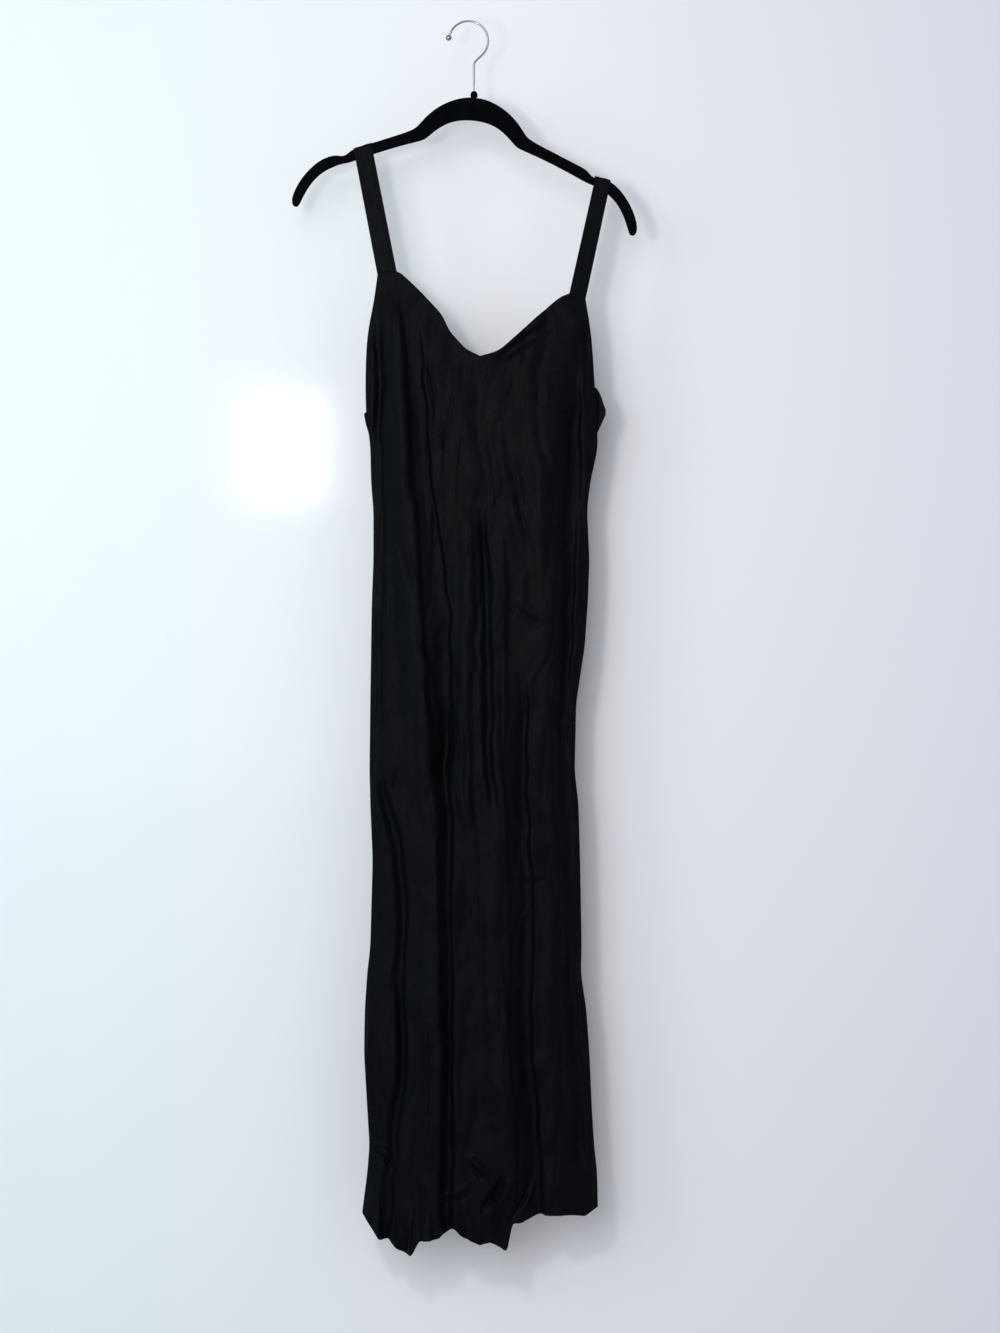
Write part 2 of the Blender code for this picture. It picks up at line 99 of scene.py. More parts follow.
# The large folds. Each runs down a line of (height, x) points, and dies out on its two sides over its left
# and right reach. A short reach is the steep side of a fold that lies over its neighbour.
FRONT_FOLDS = [
    # height, left reach, right reach, line
    (-9, 12, 11, [(-340, -113), (-560, -114), (-760, -116), (-960, -113)]),
    (9, 34, 9,
     [(-330, -91), (-521, -77), (-640, -71), (-790, -61), (-900, -50), (-1133, -39), (-1660, -40)]),
    (-11, 30, 5, [(-380, -64), (-521, -52), (-640, -45), (-740, -31), (-860, -22), (-1000, -20)]),
    (-11, 13, 6, [(-860, -28), (-1000, -24), (-1133, -21), (-1300, -22), (-1660, -26)]),
    (-11, 15, 6,
     [(-920, -114), (-988, -104), (-1061, -86), (-1218, -81), (-1368, -88), (-1453, -97), (-1660, -108)]),
    (6, 17, 12, [(-600, -6), (-760, -2), (-925, -2), (-1080, 2)]),
    (-9, 10, 8, [(-600, 15), (-690, 19), (-843, 26), (-1040, 33)]),
    (6, 42, 9,
     [(-640, 42), (-860, 42), (-942, 44), (-1103, 46), (-1240, 49), (-1368, 53), (-1457, 58), (-1560, 54)]),
    (-10, 24, 6, [(-820, 68), (-942, 74), (-1103, 76), (-1240, 79), (-1368, 84), (-1457, 89), (-1660, 92)]),
    (5, 24, 30, [(-500, 96), (-800, 100), (-1100, 108), (-1660, 122)]),
    (-8, 22, 9,
     [(-430, 142), (-600, 138), (-700, 132), (-894, 126), (-1040, 130), (-1250, 138), (-1500, 146)]),
    (-5, 13, 10, [(-442, 30), (-418, 62), (-396, 92), (-382, 112)]),
    (-4, 8, 6, [(-428, -9), (-455, -9), (-486, -12)]),
]
BACK_FOLDS = [
    # height, left reach, right reach, line
    (8, 12, 34, [(-455, 98), (-700, 90), (-900, 84), (-1300, 88), (-1660, 94)]),
    (-10, 22, 8, [(-460, 78), (-700, 72), (-900, 66), (-1300, 68), (-1660, 72)]),
    (6, 14, 26, [(-540, 22), (-1000, 26), (-1660, 22)]),
    (-11, 20, 9, [(-480, -6), (-700, -12), (-900, -15), (-1200, -12), (-1660, -22)]),
    (9, 9, 32, [(-455, -52), (-800, -48), (-1100, -42), (-1660, -46)]),
    (-8, 18, 7, [(-600, -74), (-800, -70), (-1100, -66), (-1660, -70)]),
    (-7, 14, 12, [(-640, -108), (-1100, -104), (-1420, -100)]),
    (-8, 14, 16, [(-700, 124), (-1100, 118), (-1660, 130)]),
]
# How far a fold takes to fade out at its ends, and folds, creases and edges beside a side seam.
FOLD_FADE = 80
SIDE_FADE = 20
CREASE_FADE = 7
HEM_FADE = 9
TOP_FADE = 4

# Creases too small for the solids, along lines of the same kind.
FRONT_CREASES = [
    # height, left reach, right reach, line
    (2.2, 4, 6, [(-460, -53), (-580, -51), (-700, -49)]),
    (-3.0, 5, 5, [(-400, -62), (-440, -50), (-490, -42), (-560, -46)]),
    (-2.6, 5, 5, [(-440, -14), (-505, -24), (-550, -30), (-600, -33)]),
    (2.0, 6, 6, [(-500, -8), (-570, -16), (-660, -19)]),
    (-2.2, 4, 5, [(-530, 22), (-560, 28), (-590, 31)]),
    (-3.2, 5, 6, [(-500, 44), (-556, 50), (-600, 61), (-640, 70), (-700, 86)]),
    (2.2, 7, 5, [(-505, 38), (-560, 42), (-610, 54), (-690, 76)]),
    (-2.4, 4, 4, [(-575, 31), (-600, 34), (-640, 37)]),
    (-2.6, 5, 6, [(-470, 140), (-530, 133), (-600, 127), (-690, 120)]),
    (1.8, 5, 5, [(-400, 146), (-450, 147), (-500, 149)]),
    (2.0, 5, 5, [(-560, 151), (-600, 150), (-640, 148)]),
    (-2.4, 5, 6, [(-655, 141), (-672, 128), (-690, 106)]),
    (2.0, 5, 5, [(-645, 141), (-662, 128), (-680, 106)]),
    (-3.8, 5, 5, [(-655, -92), (-680, -86), (-712, -76), (-745, -66)]),
    (2.4, 5, 5, [(-650, -84), (-678, -78), (-710, -69), (-740, -60)]),
    (-3.8, 5, 5, [(-742, 46), (-758, 66), (-776, 90), (-786, 104)]),
    (2.6, 5, 6, [(-732, 50), (-748, 70), (-766, 94), (-778, 108)]),
    (-2.0, 5, 5, [(-700, 112), (-760, 110), (-815, 106)]),
    (1.8, 4, 4, [(-835, 135), (-865, 134), (-900, 133)]),
    (1.8, 4, 4, [(-975, 131), (-1000, 130), (-1030, 128)]),
    (-2.8, 4, 5, [(-840, -12), (-925, -2), (-978, -3), (-1045, 4)]),
    (2.0, 4, 4, [(-1040, 6), (-1075, 10), (-1130, 16), (-1150, 14)]),
    (2.0, 4, 4, [(-1140, 2), (-1160, 6), (-1182, 12)]),
    (-3.0, 5, 5, [(-800, 41), (-870, 42), (-930, 44), (-1000, 50), (-1050, 56)]),
    (1.6, 6, 6, [(-580, -104), (-700, -103), (-830, -100)]),
    (2.0, 4, 4, [(-930, -94), (-980, -95), (-1030, -92)]),
    (-2.2, 5, 5, [(-1125, -93), (-1165, -100), (-1215, -110)]),
    (-2.2, 5, 5, [(-1200, -94), (-1250, -97), (-1310, -99)]),
    (5.5, 6, 6, [(-1230, -58), (-1322, -53), (-1418, -53), (-1490, -45)]),
    (4.2, 5, 6, [(-1195, 42), (-1265, 47), (-1310, 46), (-1345, 42)]),
    (5.0, 5, 6, [(-1340, 42), (-1391, 50), (-1428, 57), (-1475, 61)]),
    (-2.8, 4, 4, [(-1096, 46), (-1102, 70), (-1098, 104)]),
    (2.2, 4, 4, [(-1088, 48), (-1093, 72), (-1089, 102)]),
    (-2.0, 4, 4, [(-1100, -80), (-1105, -62), (-1104, -44)]),
    (-3.0, 4, 5, [(-1090, 120), (-1162, 121), (-1200, 130), (-1260, 133)]),
    (2.2, 4, 4, [(-1090, 128), (-1165, 130), (-1205, 139), (-1260, 142)]),
    (-2.0, 4, 4, [(-1120, 136), (-1170, 138), (-1240, 148)]),
    (1.6, 7, 7, [(-1300, 92), (-1380, 88), (-1480, 94)]),
    (-1.6, 7, 7, [(-1330, 112), (-1420, 114), (-1520, 108)]),
    (1.6, 6, 6, [(-1330, -10), (-1400, -14), (-1480, -20)]),
    (2.2, 5, 5, [(-1240, -126), (-1300, -128), (-1350, -124)]),
    (-2.2, 5, 5, [(-1290, -118), (-1350, -116), (-1400, -122)]),
]
HEM_CREASES = [
    # height, left reach, right reach, line
    (-7, 5, 7, [(-1446, -130), (-1450, -116), (-1460, -104), (-1474, -96)]),
    (7, 7, 6, [(-1436, -128), (-1441, -114), (-1450, -102), (-1464, -92)]),
    (8, 13, 10, [(-1456, -118), (-1500, -116), (-1660, -112)]),
    (2.4, 3.5, 3.5, [(-1466, -124), (-1500, -123), (-1540, -123)]),
    (-2.4, 3.5, 3.5, [(-1470, -113), (-1510, -111), (-1660, -109)]),
    (6, 9, 9, [(-1480, -76), (-1520, -74), (-1660, -72)]),
    (-5, 6, 6, [(-1500, -62), (-1530, -61), (-1660, -60)]),
    (4, 6, 6, [(-1500, -51), (-1540, -49), (-1660, -48)]),
    (-7, 6, 8, [(-1470, -38), (-1520, -34), (-1660, -32)]),
    (9, 8, 7, [(-1446, -6), (-1456, 8), (-1468, 22), (-1476, 32)]),
    (-6, 6, 6, [(-1460, -2), (-1470, 10), (-1484, 20)]),
    (-12, 7, 8, [(-1466, 50), (-1486, 38), (-1508, 24), (-1526, 14)]),
    (11, 8, 7, [(-1470, 60), (-1490, 50), (-1512, 38), (-1560, 30)]),
    (-7, 5, 7, [(-1480, 80), (-1504, 70), (-1522, 58), (-1540, 44)]),
    (5, 6, 5, [(-1470, 88), (-1496, 80), (-1520, 68), (-1534, 58)]),
    (-5, 5, 6, [(-1492, 8), (-1502, -8), (-1508, -24), (-1512, -40)]),
    (5, 6, 5, [(-1482, 6), (-1491, -8), (-1498, -24), (-1502, -40)]),
    (4, 8, 8, [(-1510, 2), (-1540, 4), (-1660, 6)]),
    (-5, 6, 6, [(-1516, 20), (-1540, 20), (-1660, 21)]),
    (6, 8, 6, [(-1520, 44), (-1545, 45), (-1660, 46)]),
    (2, 9, 9, [(-1490, 100), (-1520, 102), (-1660, 103)]),
    (-2, 8, 8, [(-1480, 124), (-1520, 122), (-1660, 122)]),
    (2.5, 9, 9, [(-1490, 146), (-1520, 147), (-1660, 147)]),
]

# The back hangs in creases of the same kind, uneven in another way.
BACK_CREASES = [
    # height, left reach, right reach, line
    (-2.6, 5, 6, [(-470, -112), (-560, -106), (-680, -104)]),
    (2.0, 6, 6, [(-470, -98), (-580, -92), (-720, -86)]),
    (-2.6, 5, 5, [(-472, -34), (-540, -30), (-640, -26)]),
    (2.0, 6, 6, [(-474, 8), (-540, 12), (-620, 10)]),
    (-2.4, 5, 5, [(-474, 44), (-560, 46), (-680, 52)]),
    (2.0, 6, 6, [(-470, 124), (-580, 120), (-700, 118)]),
    (-2.6, 6, 6, [(-480, 142), (-590, 138), (-720, 132)]),
    (-3.6, 5, 5, [(-700, -66), (-740, -44), (-776, -20)]),
    (2.4, 5, 5, [(-690, -60), (-730, -38), (-766, -14)]),
    (-3.2, 5, 5, [(-760, 112), (-796, 92), (-822, 70)]),
    (2.2, 5, 5, [(-750, 110), (-786, 90), (-812, 68)]),
    (-2.6, 5, 5, [(-860, 2), (-1000, 6), (-1160, -2)]),
    (2.0, 5, 5, [(-900, -26), (-1020, -30), (-1140, -24)]),
    (2.0, 5, 5, [(-980, 112), (-1080, 108), (-1180, 112)]),
    (-2.6, 4, 4, [(-1108, -50), (-1116, -14), (-1110, 24)]),
    (2.0, 4, 4, [(-1099, -50), (-1107, -14), (-1101, 24)]),
    (2.4, 5, 5, [(-1180, -118), (-1300, -120), (-1420, -114)]),
    (-2.6, 5, 5, [(-1200, 40), (-1330, 44), (-1470, 38)]),
    (2.0, 6, 6, [(-1260, 94), (-1360, 92), (-1480, 98)]),
    (-2.4, 5, 5, [(-1300, 146), (-1400, 142), (-1500, 146)]),
    (-5, 6, 7, [(-1430, -98), (-1490, -94), (-1660, -96)]),
    (6, 8, 7, [(-1440, -78), (-1490, -76), (-1660, -74)]),
    (-6, 7, 7, [(-1430, -32), (-1490, -34), (-1660, -30)]),
    (5, 8, 8, [(-1446, 2), (-1490, 6), (-1660, 4)]),
    (-5, 6, 7, [(-1450, 36), (-1490, 38), (-1660, 42)]),
    (3, 8, 8, [(-1460, 112), (-1500, 110), (-1660, 114)]),
]

NECK_LEFT = [
    # x, height
    (-92, -320),
    (-84, -325),
    (-67, -341),
    (-51, -358),
    (-35, -376),
    (-24, -397),
    (-14, -409),
    (-2, -421),
    (15, -430),
]
NECK_RIGHT = [
    # x, height
    (131, -348),
    (116, -355),
    (99, -369),
    (80, -386),
    (58, -406),
    (38, -422),
    (15, -430),
]
STRAP_POINT_LEFT = (-116, -320)
STRAP_POINT_RIGHT = (150, -356)
CENTRE_FRONT_FOOT = 24
SEAM_HEIGHT = -492
SEAM_POWER = 4

FRONT_HEM = [
    # x, height
    (-137, -1521),
    (-123, -1540),
    (-109, -1559),
    (-98, -1556),
    (-88, -1568),
    (-70, -1576),
    (-59, -1555),
    (-37, -1553),
    (-27, -1548),
    (-16, -1540),
    (-6, -1551),
    (17, -1563),
    (29, -1559),
    (51, -1570),
    (57, -1534),
    (67, -1535),
    (90, -1524),
    (130, -1525),
    (149, -1528),
    (166, -1518),
]
BACK_HEM = [
    # x, height
    (-137, -1521),
    (-110, -1540),
    (-70, -1551),
    (-18, -1539),
    (30, -1551),
    (62, -1531),
    (95, -1522),
    (135, -1523),
    (166, -1518),
]
BACK_CORNER = -503
BACK_CORNER_LEFT = -134
BACK_CORNER_RIGHT = 176
BACK_TOP = [
    # share of the width, height
    (0.0, BACK_CORNER),
    (0.04, -486),
    (0.14, -471),
    (0.23, -469),
    (0.5, -476),
    (0.75, -469),
    (0.84, -470),
    (0.96, -466),
    (0.99, -484),
    (1.0, BACK_CORNER),
]
STRAPS = [
    # name, over the hanger, front end as points, x at the back edge
    ("strap_left", (-147, -124), (STRAP_POINT_LEFT, NECK_LEFT[0]), (-89, -66)),
    ("strap_right", (162, 182), (NECK_RIGHT[0], STRAP_POINT_RIGHT), (102, 122)),
]

SKIRT_COLUMNS = 150
SKIRT_ROWS = 300
BODICE_COLUMNS = 92
BODICE_ROWS_ON_NECK = 112
BODICE_ROWS_ON_SEAM = 44
STRAP_COLUMNS = 18
STRAP_WIDTH = 22
STRAP_STEP = 1.6
STRAP_TUCK = 9
STRAP_SLACK = 0.3
# The hanger's half thickness with the strap's clearance, and the reach of the solid strap's outer face.
HANGER_HALF = 2.5
HANGER_CLEARANCE = 0.35
SOLID_STRAP_REACH = 4.3
TURNED_EDGE = 11
HEM_TURN = 7
# The level at which the hem's width is taken, and how far the corners of the back's top edge are softened,
# as a share of its width.
HEM_LEVEL = -1500.0
BACK_TOP_SOFTEN = 0.012
# The share of a broad fold that is level, and the rises of the crushed look.
LEVEL_SHARE = 0.15
SWELL_RISE = 1.6
FACET_RISE = 3.4
SMALL_FACET_RISE = 1.5
# How near together points of a hard node are one point, and how much its facets may lean and still join.
MERGE_WITHIN = 0.00002
MOST_LEAN = math.radians(60)

WALL_Y = 0.085
# Painted light on the wall: its paint runs from cooler and brighter at the left to dimmer at the right, as
# if lit from the left.
WALL_PAINTED_LIGHT_TINTS = [
    # share of the way from left to right, colour
    (0.0, "EAF6F8"),
    (0.28, "EDF2F5"),
    (0.5, "F0F1F4"),
    (1.0, "E6E9F0"),
]
# The room's strength as light, and as the camera sees it.
ROOM_LIGHT = 0.5
ROOM_SEEN = 0.8
LAMPS = [
    # name, place, what it points at, width and height, watts, colour
    ("front softbox", (-1.0, -3.4, 0.0), (0.0, 0.0, -0.8), (2.4, 2.4), 50, "FBFBFF"),
    ("left softbox", (-2.6, -1.8, 0.0), (-0.2, 0.0, -0.8), (1.0, 2.4), 18, "DDF8FF"),
    ("right softbox", (3.2, -3.0, 0.2), (0.2, 0.0, -0.6), (1.4, 2.2), 8, "DDE2FF"),
    ("lamp", (-0.38, -1.6, -0.4), (-0.1, 0.0, -0.7), (0.16, 0.2), 5, "FFFCF8"),
    ("back softbox", (1.6, 3.2, 0.9), (0.0, 0.0, -0.8), (1.6, 1.6), 60, "F8FBFF"),
]


def ease(t):
    t = np.clip(t, 0.0, 1.0)
    return t * t * (3 - 2 * t)


def between(a, b, t):
    return a + (b - a) * t


def read(table, key, column, soften=10):
    """A column of a table at a key, its corners rounded over a short way each side."""
    rows = np.array(sorted(table), float)
    taps = [np.interp(key + soften * step, rows[:, 0], rows[:, column]) for step in (-1, -0.5, 0, 0.5, 1)]
    return sum(taps) / len(taps)


def noise(x, z, seed):
    """Smooth noise from -1 to 1 with one cell a unit."""
    column, row = np.floor(x), np.floor(z)
    right, up = ease(x - column), ease(z - row)

    def corner(i, j):
        value = np.sin((column + i) * 127.1 + (row + j) * 311.7 + seed * 74.7) * 43758.5453
        return 2 * (value - np.floor(value)) - 1

    low = between(corner(0, 0), corner(1, 0), right)
    high = between(corner(0, 1), corner(1, 1), right)
    return between(low, high, up)


def side_lines(height):
    return read(SIDES, height, 1), read(SIDES, height, 2)


def back_side_lines(height):
    left, right = side_lines(height)
    lift = np.clip((height - UNDERARM) / (BACK_CORNER - UNDERARM), 0, 1)
    return between(left, BACK_CORNER_LEFT, lift), between(right, BACK_CORNER_RIGHT, lift)


def past_line(line, x, height):
    """Distance of points to the right of a smooth line, the way gone along it, and its length."""
    path = smooth_path([(at, tall) for tall, at in line], 6 * len(line))
    nearest = np.full(x.shape, 1e9)
    side = np.zeros(x.shape)
    gone = np.zeros(x.shape)
    length = 0.0
    for a, b in zip(path, path[1:]):
        run, fall = b - a
        size = math.hypot(run, fall)
        share = np.clip(((x - a[0]) * run + (height - a[1]) * fall) / size**2, 0, 1)
        right = x - a[0] - share * run
        above = height - a[1] - share * fall
        distance = np.hypot(right, above)
        closer = distance < nearest
        nearest = np.where(closer, distance, nearest)
        side = np.where(closer, np.sign(run * above - fall * right), side)
        gone = np.where(closer, length + share * size, gone)
        length += size
    return side * nearest, gone, length


def folds_at(folds, x, height, profile):
    """The sum of the folds. profile gives the share of a fold's height at a share of its reach."""
    total = np.zeros_like(x)
    for rise, left, right, line in folds:
        heights = [tall for tall, _ in line]
        places = [at for _, at in line]
        widest = max(left, right)
        near = (height < max(heights) + widest) & (height > min(heights) - widest)
        near &= (x > min(places) - widest) & (x < max(places) + widest)
        side, gone, length = past_line(line, x[near], height[near])
        away = np.clip(np.where(side > 0, side / right, -side / left), 0, 1)
        fade = min(FOLD_FADE, 0.4 * length)
        ends = ease(gone / fade) * ease((length - gone) / fade)
        total[near] += rise * ends * profile(away)
    return total


def broad(away):
    """A fold with a level crest or floor and soft flanks."""
    return 1 - ease((away - LEVEL_SHARE) / (1 - LEVEL_SHARE))


def pinched(away):
    """A crease that is sharp along its line and dies out beside it."""
    return (1 - away) ** 2


def facets(x, height, seed):
    """Height of cloth that falls into flat facets, level on average, with sharp creases between them."""
    return np.abs(noise(x, height, seed)) - 0.4


def crinkle(x, height, seed):
    """The crushed look of washed satin: uneven swells, and facets that meet in creases of several leans.

    Each noise has cells of its own width and height, and is shifted unevenly so that no two line up.
    """
    drift = 11 * noise(x / 50, height / 66, seed + 1) + 3 * noise(x / 19, height / 24, seed + 9)
    slip = 22 * noise(x / 44, height / 80, seed + 2)
    calm = 0.5 + 0.5 * noise(x / 60, height / 90, seed + 6)
    swell = noise((x + drift) / 33, height / 130, seed + 8)
    upright = facets((x + drift) / 27, (height + slip) / 125, seed + 3)
    left_lean = facets((x + 0.36 * height + drift) / 41, (height - 0.3 * x) / 78, seed + 4)
    right_lean = facets((x - 0.3 * height - drift) / 37, (height + 0.3 * x + slip) / 70, seed + 5)
    small = facets((x + 2 * drift) / 14, (height + slip) / 52, seed + 7)
    leaning = (1 - calm) * right_lean - calm * left_lean
    return SWELL_RISE * swell + FACET_RISE * (upright + leaning) - SMALL_FACET_RISE * small


def stand_off(x, height, lines, folds, creases, middle_column, seed):
    """Distance of the cloth's outer face from the plane of the side seams."""
    left, right = lines(height)
    share = np.clip((x - left) / (right - left), 0, 1)
    middle = read(DEPTHS, height, middle_column)
    edge = read(DEPTHS, height, middle_column + 1)
    body = edge + middle * (1 - np.abs(2 * share - 1) ** BODY_POWER)
    to_side = np.minimum(x - left, right - x)
    inside = ease(to_side / SIDE_FADE)
    near_side = ease(to_side / CREASE_FADE)
    # The folds wander sideways and are fuller in some places, as hung cloth is.
    wander = 5 * noise(x / 80, height / 95, seed + 11) + 2.6 * noise(x / 34, height / 33, seed + 12)
    fullness = 1 + 0.3 * noise(x / 50, height / 110, seed + 13)
    large = fullness * folds_at(folds, x + wander, height, broad)
    small = folds_at(creases, x + 0.4 * wander, height, pinched) + crinkle(x, height, seed)
    return body + inside * large + near_side * small


def front_off(x, height):
    creases = FRONT_CREASES + HEM_CREASES
    return stand_off(x, height, side_lines, FRONT_FOLDS, creases, 1, 3)


def back_off(x, height):
    return stand_off(x, height, back_side_lines, BACK_FOLDS, BACK_CREASES, 3, 31)


def seam_height(x):
    left, right = (float(v) for v in side_lines(np.array(float(UNDERARM))))
    share = np.clip(2 * (x - left) / (right - left) - 1, -1, 1)
    return SEAM_HEIGHT + (UNDERARM - SEAM_HEIGHT) * np.abs(share) ** SEAM_POWER


def smooth_path(points, count):
    """Points at even shares of the length of a smooth curve through a few points."""
    points = [np.array(p, float) for p in points]
    if len(points) == 2:
        return np.array([between(points[0], points[1], i / (count - 1)) for i in range(count)])
    ends = [2 * points[0] - points[1]] + points + [2 * points[-1] - points[-2]]
    fine = []
    for a, b, c, d in zip(ends, ends[1:], ends[2:], ends[3:]):
        for t in np.linspace(0, 1, 24, endpoint=False):
            bend = (2 * a - 5 * b + 4 * c - d) * t**2 + (3 * b - a - 3 * c + d) * t**3
            fine.append(0.5 * (2 * b + (c - a) * t + bend))
    fine = np.array(fine + [points[-1]])
    lengths = np.concatenate([[0], np.cumsum(np.linalg.norm(np.diff(fine, axis=0), axis=1))])
    wanted = np.linspace(0, lengths[-1], count)
    return np.stack([np.interp(wanted, lengths, fine[:, k]) for k in (0, 1)], axis=1)


def patch(top, bottom, left, right):
    """A grid of (x, height) between four edges that meet at their ends."""
    v = np.linspace(0, 1, len(left))[:, None, None]
    u = np.linspace(0, 1, len(top))[None, :, None]
    across = between(left[:, None], right[:, None], u)
    down = between(top[None], bottom[None], v)
    corners = between(between(top[0], top[-1], u), between(bottom[0], bottom[-1], u), v)
    return across + down - corners


def distance_to(path, grid):
    """Distance of each grid point from a path's points."""
    flat = grid.reshape(-1, 2)
    nearest = np.full(len(flat), 1e9)
    for point in path:
        nearest = np.minimum(nearest, np.hypot(*(flat - point).T))
    return nearest.reshape(grid.shape[:2])


def turned_edge(distance):
    """The doubled cloth of a turned edge, with the soft groove of its stitching."""
    doubled = 0.45 * ease((TURNED_EDGE - distance) / 2)
    groove = 0.35 * np.exp(-(((distance - TURNED_EDGE + 2.5) / 1.3) ** 2))
    rolled = 0.5 * np.exp(-((distance / 1.0) ** 2))
    return doubled - groove - rolled


def seam_groove(distance, x, height, seed):
    """A pressed seam: a narrow groove, with small puckers dying out beside it."""
    pucker = 0.1 * noise(x / 5, height / 9, seed) * np.exp(-((distance / 7) ** 2))
    return pucker - 0.1 * np.exp(-((distance / 1.2) ** 2))


def sheet_object(name, points, thickness, finish, turned_over=False):
    """A smooth shell from a grid of points in millimetres, its rows down and its columns to +X.

    Its outer face looks to -Y, or to +Y if it is turned over. The cut edges stay crisp.
    """
    rows, columns = points.shape[:2]
    index = np.arange(rows * columns).reshape(rows, columns)
    quads = np.stack([index[:-1, :-1], index[1:, :-1], index[1:, 1:], index[:-1, 1:]], axis=-1)
    quads = quads.reshape(-1, 4)
    if turned_over:
        quads = quads[:, ::-1]
    mesh = bpy.data.meshes.new(name)
    mesh.from_pydata((points.reshape(-1, 3) * MM).tolist(), [], quads.tolist())
    cloth_map = mesh.uv_layers.new(name="cloth")
    down = np.cumsum(np.linalg.norm(np.diff(points, axis=0, prepend=points[:1]), axis=2), axis=0)
    across = np.cumsum(np.linalg.norm(np.diff(points, axis=1, prepend=points[:, :1]), axis=2), axis=1)
    flat = np.stack([across, -down], axis=-1).reshape(-1, 2) * MM
    corners = np.empty(len(mesh.loops), np.int32)
    mesh.loops.foreach_get("vertex_index", corners)
    cloth_map.data.foreach_set("uv", flat[corners].astype(np.float32).ravel())
    mesh.shade_smooth()
    ends = np.empty(len(mesh.edges) * 2, np.int32)
    mesh.edges.foreach_get("vertices", ends)
    row, column = np.divmod(ends.reshape(-1, 2), columns)
    border = ((row == 0) | (row == rows - 1)).all(1) & (row[:, 0] == row[:, 1])
    border |= ((column == 0) | (column == columns - 1)).all(1) & (column[:, 0] == column[:, 1])
    mesh.attributes.new("sharp_edge", "BOOLEAN", "EDGE").data.foreach_set("value", border)
    mesh.materials.append(finish)
    made = bpy.data.objects.new(name, mesh)
    bpy.context.scene.collection.objects.link(made)
    solid = made.modifiers.new("thickness", "SOLIDIFY")
    solid.thickness = thickness * MM
    solid.offset = -1
    solid.use_quality_normals = True
    bpy.context.view_layer.objects.active = made
    bpy.ops.object.modifier_apply(modifier="thickness")
    return made


def cloth_points(grid, off, facing, extra):
    x, height = grid[..., 0], grid[..., 1]
    out = off(x, height) + extra
    return np.stack([x, facing * np.maximum(out, HALF_GAP), height], axis=-1)


def hem_turn(rise):
    """The narrow turned hem: a doubled band above the edge, with its line of stitching."""
    doubled = 0.35 * ease((HEM_TURN + 1 - rise) / 1.5)
    groove = 0.4 * np.exp(-(((rise - HEM_TURN) / 1.4) ** 2))
    return doubled - groove


def hem_flutes(x, rise, seed):
    """Flutes that open towards the hem, stronger on the left than on the right."""
    left = 1 - 0.72 * ease((x - 30) / 60)
    opening = (1 - ease(rise / 95)) ** 1.5
    wave = noise((x + 0.12 * rise) / 13.5, rise / 300, seed)
    return 5.5 * left * opening * wave


def panel(name, top_of, hem, lines, off, facing, seed, finish):
    """A long panel whose columns keep their share of the width from its top edge down to the hem."""
    share = np.linspace(0, 1, SKIRT_COLUMNS + 1)[None, :]
    down = np.linspace(0, 1, SKIRT_ROWS + 1)[:, None]
    left, right = lines(np.array(HEM_LEVEL))
    foot = read(hem, between(left, right, share), 1, 2)
    top = top_of(share)
    height = between(top, foot, down)
    left, right = lines(height)
    x = between(left, right, share)
    grid = np.stack([x, height], axis=-1)
    rise = height - foot
    to_side = np.minimum(x - left, right - x)
    extra = (hem_turn(rise) + hem_flutes(x, rise, seed)) * ease(to_side / HEM_FADE)
    front = facing < 0
    drop = top - height
    top_edge = seam_groove(drop, x, height, seed) if front else turned_edge(drop)
    extra += top_edge * ease(to_side / TOP_FADE)
    return sheet_object(name, cloth_points(grid, off, facing, extra), CLOTH, finish, turned_over=not front)


def front_skirt(finish):
    left, right = side_lines(np.array(float(UNDERARM)))

    def top_of(share):
        return seam_height(between(left, right, share)) - SEAM_GAP

    return panel("skirt_front", top_of, FRONT_HEM, side_lines, front_off, -1, 5, finish)


def back_top(share):
    """Height of the back's top edge at a share of its width."""
    return read(BACK_TOP, share, 1, BACK_TOP_SOFTEN)


def back_panel(finish):
    return panel("dress_back", back_top, BACK_HEM, back_side_lines, back_off, 1, 17, finish)


def armhole_path(side, start, end, count):
    rows = [(row[1 + side], row[0]) for row in SIDES if UNDERARM < row[0] < start[1] - 8]
    return smooth_path([start] + rows + [end], count)


def front_bodice(side, finish):
    """One half of the front bodice. side is 0 on the left and 1 on the right."""
    left, right = (float(v) for v in side_lines(np.array(float(UNDERARM))))
    ends = (left, CENTRE_FRONT_FOOT) if side == 0 else (CENTRE_FRONT_FOOT, right)
    seam_x = np.linspace(*ends, BODICE_COLUMNS + 1)
    bottom = np.stack([seam_x, seam_height(seam_x) + SEAM_GAP], axis=1)
    neck_table = NECK_LEFT if side == 0 else NECK_RIGHT
    start = STRAP_POINT_LEFT if side == 0 else STRAP_POINT_RIGHT
    neck = smooth_path(neck_table, BODICE_ROWS_ON_NECK + 1)
    foot = bottom[-1] if side == 0 else bottom[0]
    centre = smooth_path([neck[-1], foot], BODICE_ROWS_ON_SEAM + 1)
    inner = np.concatenate([neck, centre[1:]])
    underarm = bottom[0] if side == 0 else bottom[-1]
    outer = armhole_path(side, start, underarm, len(inner))
    top = smooth_path([start, neck[0]] if side == 0 else [neck[0], start], BODICE_COLUMNS + 1)
    grid = patch(top, bottom, outer, inner) if side == 0 else patch(top, bottom, inner, outer)
    edges = np.minimum(distance_to(neck, grid), distance_to(outer, grid))
    edges = np.minimum(edges, distance_to(top, grid))
    seams = np.minimum(distance_to(bottom, grid), distance_to(centre, grid))
    x, height = grid[..., 0], grid[..., 1]
    extra = turned_edge(edges) + seam_groove(seams, x, height, 9 + side)
    name = "bodice_left" if side == 0 else "bodice_right"
    return sheet_object(name, cloth_points(grid, front_off, -1, extra), CLOTH, finish)


